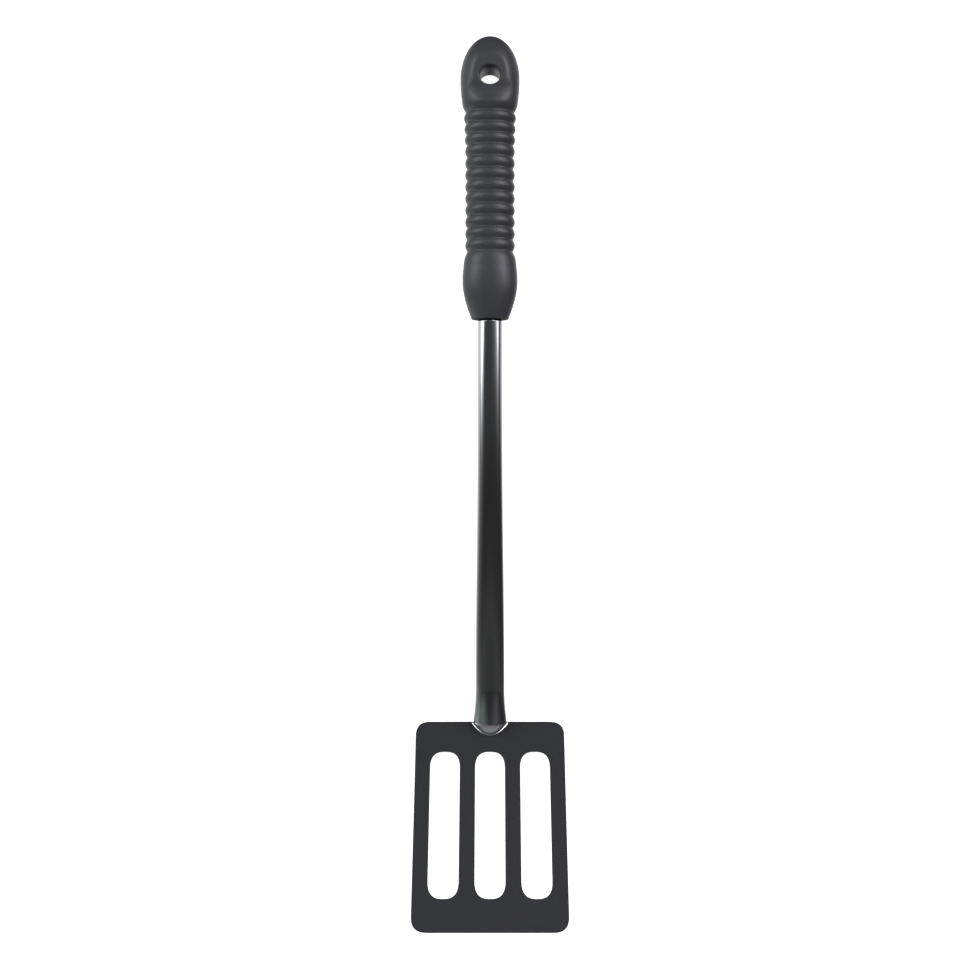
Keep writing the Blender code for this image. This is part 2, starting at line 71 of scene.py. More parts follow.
# ---- grip: u is the distance from the tip of the handle along its axis
MOUTH_U = 138.1
TIP_U = 0.33
HOLE_U = 21.1
HOLE_HALF_WIDTH = 4.70
HOLE_HALF_LENGTH = 4.0
HOLE_EDGE_ROUND = 0.6
HOLE_FLARE = 0.6
HOLE_FLARE_DEPTH = 4.2
EGG_LENGTH = 21.4
EGG_HALF_WIDTH = 14.36
EGG_HALF_DEPTH = 11.5
FLAT_HALF_DEPTH = 9.4
FLAT_END_U = 29.3
FLAT_RUN_OUT = 5.0
FLAT_EDGE_ROUND = 0.8
FIRST_GROOVE_U = 37.6
RIB_PITCH_NEAR_HOLE = 5.3
RIB_PITCH = 5.72
RIBS_NEAR_HOLE = 3
RIB_COUNT = 12
RIB_HEIGHT = 0.95
GROOVE_HALF_WIDTH = 11.12
GROOVE_EXTRA_AT_HOLE = 0.69
GROOVE_FILLET = 0.56
BULB_U = 119.2
BULB_HALF_WIDTH = 13.40
DEPTH_RATIO = 0.775
LIP_SLOPE = 0.47
MOUTH_ROUND = 0.75
PARTING_HEIGHT = 0.045

# ---- core, pin and seal
CORE_HALF_WIDTH = 8.8
CORE_HALF_DEPTH = 6.7
CORE_TOP_U = 38.4
CORE_END_U = 135.25
CORE_EYE_RADIUS = 9.4
CORE_EYE_BORE = 6.8
CORE_EYE_HALF_DEPTH = 4.6
TONGUE_HALF_WIDTH = 6.4
TONGUE_HALF_DEPTH = 4.2
PIN_U = 113.0
PIN_RADIUS = 1.5
PIN_BORE = 0.85
PIN_LENGTH = 16.8
PIN_SLOT_DEG = 34.0
GAP = 0.3

# ---- shaft
TUBE_RADIUS = 6.1
TUBE_WALL = 1.0
NECK_RADIUS = 4.6
NECK_TOP_U = 73.0
SHOULDER_U = 139.05
SEAL_RADIUS = 5.6
SEAL_START_U = 135.55
HEEL_U = 336.25
SWELL_START_U = 191.0
SWELL_END_U = 316.5
SWELL = 1.0
FLARE_START_U = 319.5
FLARE = 1.25
TUBE_CAVITY_END_U = 328.5

# ---- blade
BLADE_WIDTH = 73.2
BLADE_LENGTH = 101.4
BLADE_THICKNESS = 1.5
BLADE_TILT = math.radians(30.1)
BLADE_CORNER_WIDTH = 8.0
BLADE_CORNER_LENGTH = 7.6
BLADE_CORNER_POWER = 2.7
BLADE_EDGE_ROUND = 0.2
SLOT_COUNT = 3
SLOT_MARGIN = 15.15
SLOT_TRIM = 0.08
SLOT_END_LENGTH = 9.0
SLOT_END_POWER = 2.7
BLADE_UNIT = BLADE_WIDTH / (3 * SLOT_COUNT + 1)

# ---- welds
WELD_RADIUS = 0.5
FOOT_BEAD_RADIUS = 0.68
WELD_HALF_WIDTH = 8.94
WELD_REACH = 6.85
NOSE_CLEARANCE = 1.25
NOSE_SLOPE = 0.44
NOSE_SLOPE_LAG = 0.28
PRESSED_FLARE = 0.45
HEEL_WELD_RADIUS = 0.4
HEEL_WELD_LENGTH = 10.0


# ------------------------------------------------------------------ frames
TOOL = Matrix.Translation((0.0, TOOL_Y, TOOL_Z)) @ Matrix.Rotation(TOOL_TILT, 4, "X")


def along(u):
    """The tool frame's Y of a point at distance u from the handle's tip."""
    return MOUTH_U - u


BLADE = (
    TOOL
    @ Matrix.Translation((0.0, along(HEEL_U), -TUBE_RADIUS))
    @ Matrix.Rotation(-BLADE_TILT, 4, "X")
)


# ------------------------------------------------------------------ small helpers
def smoothstep(t):
    t = min(1.0, max(0.0, t))
    return t * t * (3 - 2 * t)


def soft_min(a, b, radius):
    h = max(radius - abs(a - b), 0.0) / radius
    return min(a, b) - h * h * radius / 4


def soft_max(a, b, radius):
    return -soft_min(-a, -b, radius)


def keep_in_box(points):
    """Points in metres, held inside the CAD model's box."""
    low, high = np.array(cad_box[0]), np.array(cad_box[1])
    return np.clip(points, low, high)


def make_object(name, points, faces, place, smooth=True, recalc=True):
    """A mesh object in world metres from points in a frame's millimetres."""
    points = np.asarray(points, float)
    turn = np.array(place.to_3x3())
    move = np.array(place.translation)
    world = keep_in_box((points @ turn.T + move) * MM)
    mesh = bpy.data.meshes.new(name)
    mesh.from_pydata(world.tolist(), [], [list(map(int, f)) for f in faces])
    mesh.validate()
    if recalc:
        bm = bmesh.new()
        bm.from_mesh(mesh)
        bmesh.ops.recalc_face_normals(bm, faces=bm.faces)
        bm.to_mesh(mesh)
        bm.free()
    made = bpy.data.objects.new(name, mesh)
    bpy.context.scene.collection.objects.link(made)
    if smooth:
        mesh.shade_smooth()
    return made


class Skin:
    """Collects rings of points and the faces between them."""

    def __init__(self):
        self.points = []
        self.faces = []

    def ring(self, points):
        start = len(self.points)
        self.points.extend(points)
        return list(range(start, start + len(points)))

    def bridge(self, a, b, closed=True):
        count = len(a)
        for i in range(count if closed else count - 1):
            j = (i + 1) % count
            self.faces.append((a[i], a[j], b[j], b[i]))

    def fan(self, ring, centre):
        middle = len(self.points)
        self.points.append(centre)
        for i in range(len(ring)):
            self.faces.append((ring[i], ring[(i + 1) % len(ring)], middle))


def ellipse(half_x, half_z, count, centre_z=0.0):
    angles = [2 * math.pi * i / count for i in range(count)]
    return [(half_x * math.cos(a), centre_z + half_z * math.sin(a)) for a in angles]


def superellipse(half_x, half_z, count, power):
    points = []
    for i in range(count):
        a = 2 * math.pi * i / count
        c, s = math.cos(a), math.sin(a)
        x = math.copysign(abs(c) ** (2 / power), c) * half_x
        z = math.copysign(abs(s) ** (2 / power), s) * half_z
        points.append((x, z))
    return points


def apply_modifiers(obj):
    graph = bpy.context.evaluated_depsgraph_get()
    mesh = bpy.data.meshes.new_from_object(obj.evaluated_get(graph))
    old = obj.data
    obj.modifiers.clear()
    obj.data = mesh
    bpy.data.meshes.remove(old)
    mesh.name = obj.name


def cut_away(target, *cutters):
    """Cuts closed shapes out of a closed mesh and removes them."""
    for cutter in cutters:
        modifier = target.modifiers.new("cut", "BOOLEAN")
        modifier.operation = "DIFFERENCE"
        modifier.solver = "EXACT"
        modifier.object = cutter
        apply_modifiers(target)
        bpy.data.objects.remove(cutter, do_unlink=True)


def merge(target, *others):
    for other in others:
        modifier = target.modifiers.new("join", "BOOLEAN")
        modifier.operation = "UNION"
        modifier.solver = "EXACT"
        modifier.object = other
        apply_modifiers(target)
        bpy.data.objects.remove(other, do_unlink=True)


# ------------------------------------------------------------------ grip
def groove_places():
    places = [FIRST_GROOVE_U]
    for i in range(RIB_COUNT):
        step = RIB_PITCH_NEAR_HOLE if i < RIBS_NEAR_HOLE else RIB_PITCH
        places.append(places[-1] + step)
    return places


GROOVES = groove_places()
SINK = GROOVE_FILLET / 4  # the fillet lifts a groove's bottom by this much


def groove_half_width(u):
    fade = max(0.0, 1 - (u - FIRST_GROOVE_U) / 18.0)
    return GROOVE_HALF_WIDTH + GROOVE_EXTRA_AT_HOLE * min(1.0, fade) - SINK


def behind_ribs(u):
    """The egg-shaped end from its widest place to the first groove."""
    body = EGG_HALF_WIDTH - 1.04 * ((u - EGG_LENGTH) / 12.78) ** 2
    first = GROOVES[0]
    return soft_min(body, groove_half_width(first) + 1.2 * LIP_SLOPE * (first - u), 0.6)


def rib(index, u):
    low, high = GROOVES[index], GROOVES[index + 1]
    s = 2 * (u - low) / (high - low) - 1
    return groove_half_width(u) + (RIB_HEIGHT + SINK) * (1 - s * s)


def before_ribs(u):
    """The bulb, from the last groove to the mouth."""
    last = GROOVES[-1]
    d = abs(u - BULB_U)
    if u < BULB_U:
        body = BULB_HALF_WIDTH - 0.0082 * d * d - 0.09 * math.exp(-(((d - 6.0) / 1.6) ** 2))
    else:
        body = BULB_HALF_WIDTH - 0.58 * (math.hypot(d, 19.0) - 19.0)
    return soft_min(body, groove_half_width(last) + 1.2 * LIP_SLOPE * (u - last), 0.6)


def grip_half_width(u):
    if u <= EGG_LENGTH:
        t = (EGG_LENGTH - u) / (EGG_LENGTH - TIP_U)
        return EGG_HALF_WIDTH * math.sqrt(max(0.0, 1 - t**2.07))
    pieces = [behind_ribs(u)]
    pieces += [rib(i, u) for i in range(RIB_COUNT)]
    pieces.append(before_ribs(u))
    # piece k meets piece k + 1 at groove k
    nearest = min(range(len(GROOVES)), key=lambda k: abs(GROOVES[k] - u))
    return soft_max(pieces[nearest], pieces[nearest + 1], GROOVE_FILLET)


def grip_half_depth(u):
    if u <= EGG_LENGTH:
        t = (EGG_LENGTH - u) / (EGG_LENGTH - TIP_U)
        return EGG_HALF_DEPTH * math.sqrt(max(0.0, 1 - t * t))
    ratio = EGG_HALF_DEPTH / EGG_HALF_WIDTH
    ratio += (DEPTH_RATIO - ratio) * smoothstep((u - EGG_LENGTH) / 25.0)
    ratio += 0.04 * smoothstep((u - 108.0) / 29.0)
    return grip_half_width(u) * ratio


def flatten(z, u):
    """The flat faces round the hanging hole, which run out before the ribs."""
    flat = FLAT_HALF_DEPTH + 2.0 * smoothstep((u - FLAT_END_U) / FLAT_RUN_OUT)
    softer = 0.8 + 3.2 * (1 - smoothstep((u - 5.0) / 9.0)) + 3.2 * smoothstep((u - 22.0) / 6.0)
    return soft_min(z, flat, FLAT_EDGE_ROUND * softer)


def grip_top(x, u):
    """The height of the grip's upper skin at x, u."""
    share = max(0.0, 1 - (x / grip_half_width(u)) ** 2)
    return flatten(grip_half_depth(u) * math.sqrt(share), u)


BLOCK = 12  # the hanging hole's patch reaches this many grid steps each way


def build_grip():
    near_sides = [0.0, 0.4, 0.8, 1.3]
    degrees = [2.5 * k for k in range(144) if k not in (0, 72)]
    for centre in (0.0, 180.0):
        for step in near_sides:
            degrees += sorted({(centre + step) % 360, (centre - step) % 360})
    degrees = sorted(degrees)
    count = len(degrees)
    mirrored = {round(d, 3): i for i, d in enumerate(degrees)}
    flip = [mirrored[round((360 - d) % 360, 3)] for d in degrees]

    tip_steps = 56
    stations = [
        EGG_LENGTH - (EGG_LENGTH - TIP_U) * math.sin(math.pi / 2 * i / tip_steps)
        for i in range(tip_steps - 1, 0, -1)
    ]
    middle = len(stations)
    stations.append(EGG_LENGTH)
    stations += [EGG_LENGTH + 0.6 * k for k in range(1, BLOCK + 1)]
    while stations[-1] < 32.0:
        stations.append(stations[-1] + 0.4)
    while stations[-1] < GROOVES[-1] + 4.0:
        stations.append(stations[-1] + 0.2)
    while stations[-1] < MOUTH_U - MOUTH_ROUND - 0.5:
        stations.append(stations[-1] + 0.5)
    stations[-1] = MOUTH_U - MOUTH_ROUND

    def ring_points(u, y, inset):
        a, b = grip_half_width(u) - inset, grip_half_depth(u) - inset
        points = []
        for d in degrees:
            t = math.radians(d)
            side = math.cos(t)
            off = b * math.sin(t)
            off = math.copysign(flatten(abs(off), u), off)
            ridge = PARTING_HEIGHT * math.exp(-((off / 0.13) ** 2))
            points.append((side * a + math.copysign(ridge, side), y, off))
        return points

    skin = Skin()
    rings = [skin.ring(ring_points(u, along(u), 0.0)) for u in stations]
    skin.fan(rings[0], (0.0, along(TIP_U), 0.0))

    # the hole's patch, on the upper side and mirrored on the lower side
    seg_low = degrees.index(60.0)
    seg_high = degrees.index(120.0)
    row_low, row_high = middle - BLOCK, middle + BLOCK
    block_rows = range(row_low, row_high)
    upper = set(range(seg_low, seg_high))
    lower = {flip[s + 1] for s in upper}
    for r, (a, b) in enumerate(zip(rings, rings[1:])):
        for i in range(count):
            if r in block_rows and (i in upper or i in lower):
                continue
            j = (i + 1) % count
            skin.faces.append((a[i], a[j], b[j], b[i]))

    loop = [(row_low, s) for s in range(seg_low, seg_high)]
    loop += [(r, seg_high) for r in range(row_low, row_high)]
    loop += [(row_high, s) for s in range(seg_high, seg_low, -1)]
    loop += [(r, seg_low) for r in range(row_high, row_low, -1)]
    top_start = [rings[r][s] for r, s in loop]
    low_start = [rings[r][flip[s]] for r, s in loop]
    edge = [skin.points[i] for i in top_start]
    hole_y = along(HOLE_U)
    turns = [
        math.atan2((y - hole_y) / HOLE_HALF_LENGTH, x / HOLE_HALF_WIDTH)
        for x, y, _ in edge
    ]
    wall = [
        (HOLE_HALF_WIDTH * math.cos(t), hole_y + HOLE_HALF_LENGTH * math.sin(t))
        for t in turns
    ]
    entry = HOLE_FLARE + HOLE_EDGE_ROUND
    rim = [
        (
            (HOLE_HALF_WIDTH + entry) * math.cos(t),
            hole_y + (HOLE_HALF_LENGTH + entry) * math.sin(t),
        )
        for t in turns
    ]
    levels = []
    steps = 10
    for k in range(1, steps + 1):
        t = k / steps
        level = []
        for (x, y, _), (rx, ry) in zip(edge, rim):
            px, py = x + (rx - x) * t, y + (ry - y) * t
            level.append((px, py, grip_top(px, MOUTH_U - py)))
        levels.append(level)
    # over the rim's rounding and down the steep flare to the straight wall
    profile = []
    for k in range(1, 10):
        t = math.radians(80.0) * k / 9
        across = HOLE_EDGE_ROUND * math.sin(t) / math.sin(math.radians(80.0))
        profile.append((1 - across / entry, HOLE_EDGE_ROUND * (1 - math.cos(t))))
    for k in range(1, 9):
        t = k / 8
        share = HOLE_FLARE / entry * (1 - t) ** 1.25
        profile.append((share, 0.5 + (HOLE_FLARE_DEPTH - 0.5) * t))
    tops = [grip_top(rx, MOUTH_U - ry) for rx, ry in rim]
    for share, down in profile:
        levels.append(
            [
                (wx + (rx - wx) * share, wy + (ry - wy) * share, z - down)
                for (wx, wy), (rx, ry), z in zip(wall, rim, tops)
            ]
        )
    for k in range(1, 6):
        share = 1 - k / 6
        levels.append([(x, y, (z - HOLE_FLARE_DEPTH) * share) for (x, y), z in zip(wall, tops)])
    waist = skin.ring([(x, y, 0.0) for x, y in wall])
    for start, sign in ((top_start, 1.0), (low_start, -1.0)):
        last = start
        for level in levels:
            ring = skin.ring([(x, y, sign * z) for x, y, z in level])
            skin.bridge(last, ring)
            last = ring
        skin.bridge(last, waist)

    # the mouth: a rounded rim, a flat end face and the opening for shaft and seal
    last = rings[-1]
    for k in range(1, 9):
        t = math.pi / 2 * k / 8
        inset = MOUTH_ROUND * (1 - math.cos(t))
        y = along(MOUTH_U - MOUTH_ROUND) - MOUTH_ROUND * math.sin(t)
        ring = skin.ring(ring_points(MOUTH_U - MOUTH_ROUND, y, inset))
        skin.bridge(last, ring)
        last = ring
    bore = SEAL_RADIUS + GAP
    outer = [skin.points[i] for i in last]
    for radius, y in (
        (bore + 0.25, along(MOUTH_U)),
        (bore + 0.1, along(MOUTH_U) + 0.06),
        (bore, along(MOUTH_U) + 0.25),
        (bore, along(CORE_END_U)),
    ):
        ring = []
        for x, _, z in outer:
            turn = math.atan2(z, x)
            ring.append((radius * math.cos(turn), y, radius * math.sin(turn)))
        ring = skin.ring(ring)
        skin.bridge(last, ring)
        last = ring
    skin.fan(last, (0.0, along(CORE_END_U), 0.0))
    grip = make_object("soft_grip_skin", skin.points, skin.faces, TOOL)

    hollow = core_rod("hollow_rod", GAP)
    tongue = core_tongue("hollow_tongue", GAP)
    eye = core_eye("hollow_eye", GAP, CORE_EYE_BORE - GAP)
    merge(hollow, tongue)
    merge(hollow, eye)
    cut_away(grip, hollow)
    grip.data.shade_smooth()
    grip.data.set_sharp_from_angle(angle=math.radians(50))
    return grip


# ------------------------------------------------------------------ core, pin, seal
def core_rod(name, more, count=96):
    skin = Skin()
    levels = [
        (CORE_TOP_U - more, 0.80),
        (CORE_TOP_U + 0.6, 0.87),
        (CORE_TOP_U + 2.5, 0.97),
        (CORE_TOP_U + 6.0, 1.0),
        (CORE_END_U - 8.2, 1.0),
        (CORE_END_U - 3.7, 0.955),
        (CORE_END_U + more, 0.885),
    ]
    rings = []
    for u, share in levels:
        a = CORE_HALF_WIDTH * share + more
        b = CORE_HALF_DEPTH * share + more
        rings.append(skin.ring([(x, along(u), z) for x, z in superellipse(a, b, count, 2.2)]))
    for a, b in zip(rings, rings[1:]):
        skin.bridge(a, b)
    skin.fan(rings[0], (0.0, along(levels[0][0]), 0.0))
    skin.fan(rings[-1], (0.0, along(levels[-1][0]), 0.0))
    return make_object(name, skin.points, skin.faces, TOOL)


def core_tongue(name, more):
    a, b = TONGUE_HALF_WIDTH + more, TONGUE_HALF_DEPTH + more
    top = along(HOLE_U + CORE_EYE_RADIUS - 2.2)
    bottom = along(CORE_TOP_U + 3.0)
    skin = Skin()
    low = skin.ring([(-a, bottom, -b), (a, bottom, -b), (a, top, -b), (-a, top, -b)])
    high = skin.ring([(-a, bottom, b), (a, bottom, b), (a, top, b), (-a, top, b)])
    skin.bridge(low, high)
    skin.faces += [tuple(low), tuple(high)]
    return make_object(name, skin.points, skin.faces, TOOL)


def core_eye(name, more, bore, count=96):
    """A flat ring round the hanging hole."""
    skin = Skin()
    deep = CORE_EYE_HALF_DEPTH + more
    rows = [
        (CORE_EYE_RADIUS + more - 0.4, deep), (CORE_EYE_RADIUS + more, deep - 0.4),
        (CORE_EYE_RADIUS + more, 0.4 - deep), (CORE_EYE_RADIUS + more - 0.4, -deep),
        (bore, -deep), (bore, deep),
    ]
    rings = []
    for radius, z in rows:
        ring = [(x, along(HOLE_U) + y, z) for x, y in ellipse(radius, radius, count)]
        rings.append(skin.ring(ring))
    for a, b in zip(rings, rings[1:] + rings[:1]):
        skin.bridge(a, b)
    return make_object(name, skin.points, skin.faces, TOOL)


def rod(name, axis, radius, low, high, place, count=64):
    """A plain bar to cut with, along X (place is y, z) or Y (place is x, z)."""
    skin = Skin()
    rings = []
    for end in (low, high):
        ring = []
        for a, b in ellipse(radius, radius, count):
            p, q = place[0] + a, place[1] + b
            ring.append((end, p, q) if axis == "X" else (p, end, q))
        rings.append(skin.ring(ring))
    skin.bridge(rings[0], rings[1])
    skin.faces += [tuple(rings[0]), tuple(rings[1])]
    points = np.asarray(skin.points, float)
    turn = np.array(TOOL.to_3x3())
    move = np.array(TOOL.translation)
    mesh = bpy.data.meshes.new(name)
    mesh.from_pydata(((points @ turn.T + move) * MM).tolist(), [], skin.faces)
    bm = bmesh.new()
    bm.from_mesh(mesh)
    bmesh.ops.recalc_face_normals(bm, faces=bm.faces)
    bm.to_mesh(mesh)
    bm.free()
    made = bpy.data.objects.new(name, mesh)
    bpy.context.scene.collection.objects.link(made)
    return made


def build_core():
    core = core_rod("moulded_core", 0.0)
    tongue = core_tongue("tongue", 0.0)
    eye = core_eye("eye", 0.0, CORE_EYE_BORE)
    merge(core, tongue)
    merge(core, eye)
    cut_away(
        core,
        rod("socket", "Y", NECK_RADIUS + GAP, along(MOUTH_U + 2), along(NECK_TOP_U - 0.6), (0, 0)),
        rod("drill", "X", PIN_RADIUS + GAP, -12.0, 12.0, (along(PIN_U), 0.0), 48),
    )
    core.data.shade_smooth()
    core.data.set_sharp_from_angle(angle=math.radians(40))
    return core


def build_pin():
    """A rolled spring pin: a tube with one lengthwise slot and chamfered ends."""
    steps = 64
    gap = math.radians(PIN_SLOT_DEG) / 2
    half = PIN_LENGTH / 2
    skin = Skin()
    rings = []
    for x, inset in ((-half, 0.18), (-half + 0.5, 0.0), (half - 0.5, 0.0), (half, 0.18)):
        outer, inner = PIN_RADIUS - inset, PIN_BORE
        turns = [gap + (2 * math.pi - 2 * gap) * i / steps for i in range(steps + 1)]
        ring = [(x, along(PIN_U) + outer * math.cos(t), outer * math.sin(t)) for t in turns]
        ring += [
            (x, along(PIN_U) + inner * math.cos(t), inner * math.sin(t))
            for t in reversed(turns)
        ]
        rings.append(skin.ring(ring))
    for a, b in zip(rings, rings[1:]):
        skin.bridge(a, b)
    skin.faces += [tuple(rings[0]), tuple(rings[-1])]
    pin = make_object("rolled_pin", skin.points, skin.faces, TOOL)
    pin.data.set_sharp_from_angle(angle=math.radians(35))
    return pin


def build_seal(count=128):
    outer, inner = SEAL_RADIUS, NECK_RADIUS + 0.02
    start, end = along(SEAL_START_U), along(SHOULDER_U - 0.05)
    rows = [(start, inner), (start, outer - 0.25)]
    for k in range(1, 6):
        t = math.pi / 2 * k / 5
        rows.append((start - 0.25 * (1 - math.cos(t)), outer - 0.25 + 0.25 * math.sin(t)))
    for k in range(0, 6):
        t = math.pi / 2 * k / 5
        rows.append((end + 0.2 * (1 - math.sin(t)), outer - 0.2 + 0.2 * math.cos(t)))
    rows.append((end, inner))
    skin = Skin()
    rings = [skin.ring([(x, y, z) for x, z in ellipse(r, r, count)]) for y, r in rows]
    for a, b in zip(rings, rings[1:] + rings[:1]):
        skin.bridge(a, b)
    seal = make_object("shaft_seal", skin.points, skin.faces, TOOL)
    seal.data.set_sharp_from_angle(angle=math.radians(50))
    return seal


# ------------------------------------------------------------------ shaft
def tube_widening(u):
    """How much wider than the plain tube each side is: from the press, and from the
    flare at the foot."""
    swell = SWELL * smoothstep((u - SWELL_START_U) / (SWELL_END_U - SWELL_START_U))
    flare = 0.0
    if u > FLARE_START_U:
        flare = FLARE * ((u - FLARE_START_U) / (HEEL_U - FLARE_START_U)) ** 1.8
    return swell, flare


def tube_half_width(u):
    return TUBE_RADIUS + sum(tube_widening(u))


def girth(a, b):
    return math.pi * (3 * (a + b) - math.sqrt((3 * a + b) * (a + 3 * b)))


def tube_half_depth(u):
    """Pressing the tube wider keeps its girth, so it gets shallower."""
    swell, flare = tube_widening(u)
    wide = TUBE_RADIUS + swell + PRESSED_FLARE * flare
    low, high = 0.5, TUBE_RADIUS
    for _ in range(40):
        middle = (low + high) / 2
        if girth(wide, middle) < girth(TUBE_RADIUS, TUBE_RADIUS):
            low = middle
        else:
            high = middle
    return high


def tube_centre_z(u):
    return tube_half_depth(u) - TUBE_RADIUS


def blade_face(y):
    """The tool frame's height of the blade's food face at y."""
    return -TUBE_RADIUS + (along(HEEL_U) - y) * math.tan(BLADE_TILT)


def build_shaft(count=128):
    skin = Skin()
    rings = []

    def add(y, points):
        rings.append(skin.ring([(x, y, z) for x, z in points]))

    def bore(u, share):
        a = (tube_half_width(u) - TUBE_WALL) * share
        b = (tube_half_depth(u) - TUBE_WALL) * share
        return ellipse(a, b, count, tube_centre_z(u))

    add(along(TUBE_CAVITY_END_U), bore(TUBE_CAVITY_END_U, 0.75))
    for d in (10.0, 17.0, 30.0, 50.0, 80.0, 115.0, HEEL_U - SWELL_START_U):
        add(along(HEEL_U - d), bore(HEEL_U - d, 1.0))
    add(along(SHOULDER_U + 3.0), bore(SHOULDER_U + 3.0, 1.0))
    neck = NECK_RADIUS - TUBE_WALL
    add(along(SHOULDER_U + 1.0), ellipse(neck, neck, count))
    add(along(NECK_TOP_U), ellipse(neck, neck, count))
    for u, radius in ((NECK_TOP_U, NECK_RADIUS - 0.3), (NECK_TOP_U + 0.4, NECK_RADIUS),
                      (SHOULDER_U, NECK_RADIUS)):
        add(along(u), ellipse(radius, radius, count))
    edge = 0.1
    for k in range(0, 7):
        t = math.pi / 2 * k / 6
        radius = TUBE_RADIUS - edge + edge * math.sin(t)
        u = SHOULDER_U + edge * (1 - math.cos(t))
        add(along(u), ellipse(radius, radius, count))
    stations = [SHOULDER_U + edge + 0.04, SHOULDER_U + 0.4, SHOULDER_U + 1.0]
    while stations[-1] < SWELL_START_U - 3:
        stations.append(stations[-1] + 3.0)
    while stations[-1] < FLARE_START_U - 4:
        stations.append(stations[-1] + 1.5)
    while stations[-1] < HEEL_U - 0.4:
        stations.append(stations[-1] + 0.3)
    stations[-1] = HEEL_U
    for u in stations:
        add(along(u), ellipse(tube_half_width(u), tube_half_depth(u), count, tube_centre_z(u)))

    # the closed nose: it slopes down gently, then drops steeply to the blade
    reach = (WELD_REACH - NOSE_CLEARANCE) * math.cos(BLADE_TILT)
    heel_z = tube_centre_z(HEEL_U)
    start = heel_z + tube_half_depth(HEEL_U)
    end = -TUBE_RADIUS + reach * math.tan(BLADE_TILT)
    full = tube_half_width(HEEL_U)
    steps = 64

    def fall(t):
        return reach * (NOSE_SLOPE * t - NOSE_SLOPE_LAG * 0.2 * (1 - math.exp(-t / 0.2)))

    for k in range(1, steps):
        step = 1 - (1 - k / steps) ** 2.4
        y = along(HEEL_U) - step * reach
        centre = heel_z + (blade_face(y) - 0.2 - heel_z) * step
        drop = 1 - (1 - step**18) ** (1 / 18)
        top = start - fall(step) - (start - fall(1.0) - end) * drop
        high = max(top - centre, 0.15)
        a = full * math.sqrt(1 - step) * (1 - 0.05 * step)
        power = 9.0 + 15.0 * (1 - smoothstep(step / 0.5))
        section = []
        for i in range(count):
            c, s = math.cos(2 * math.pi * i / count), math.sin(2 * math.pi * i / count)
            share = max(0.0, 1 - abs(c) ** power) ** (1 / power)
            share *= math.sqrt(1 - (a * c / full) ** 2)
            section.append((a * c, centre + math.copysign(share * high, s)))
        add(y, section)
    for a, b in zip(rings, rings[1:]):
        skin.bridge(a, b)
    first = [skin.points[i] for i in rings[0]]
    skin.fan(rings[0], tuple(np.mean(first, axis=0)))
    last = [skin.points[i] for i in rings[-1]]
    skin.fan(rings[-1], tuple(np.mean(last, axis=0)))
    # the part below the blade's face is cut off level with it
    sunk = []
    for x, y, z in skin.points:
        if y < along(HEEL_U):
            z = max(z, blade_face(y) - 0.05)
        sunk.append((x, y, z))
    tube = make_object("chromed_shaft", sunk, skin.faces, TOOL)
    cut_away(tube, rod("pin_drill", "X", PIN_RADIUS + GAP, -9.5, 9.5, (along(PIN_U), 0.0), 48))
    tube.data.shade_smooth()
    tube.data.set_sharp_from_angle(angle=math.radians(50))
    return tube


# ------------------------------------------------------------------ blade
def corner(centre_x, centre_y, a, b, power, start_deg, steps):
    points = []
    for i in range(steps + 1):
        angle = math.radians(start_deg + 90 * i / steps)
        c, s = math.cos(angle), math.sin(angle)
        x = centre_x + math.copysign(abs(c) ** (2 / power), c) * a
        y = centre_y + math.copysign(abs(s) ** (2 / power), s) * b
        points.append((x, y))
    return points


def soft_rectangle(x0, x1, y0, y1, a, b, power, steps, runs):
    """An outline with superellipse corners a wide and b long, anticlockwise, with
    extra points along its straight runs."""
    corners = [
        corner(x1 - a, y1 - b, a, b, power, 0, steps),
        corner(x0 + a, y1 - b, a, b, power, 90, steps),
        corner(x0 + a, y0 + b, a, b, power, 180, steps),
        corner(x1 - a, y0 + b, a, b, power, 270, steps),
    ]
    points = []
    for k, part in enumerate(corners):
        points += part
        start, end = part[-1], corners[(k + 1) % 4][0]
        count = runs if math.dist(start, end) > 2 else 1
        for i in range(1, count):
            t = i / count
            points.append((start[0] + (end[0] - start[0]) * t, start[1] + (end[1] - start[1]) * t))
    kept = []
    for p in points:
        if not kept or math.dist(p, kept[-1]) > 1e-3:
            kept.append(p)
    if math.dist(kept[0], kept[-1]) < 1e-3:
        kept.pop()
    return kept


def outward(outline):
    """The unit normal at each point of an anticlockwise outline."""
    found = []
    count = len(outline)
    for i in range(count):
        ax, ay = outline[i - 1]
        bx, by = outline[(i + 1) % count]
        dx, dy = bx - ax, by - ay
        size = math.hypot(dx, dy)
        found.append((dy / size, -dx / size))
    return found


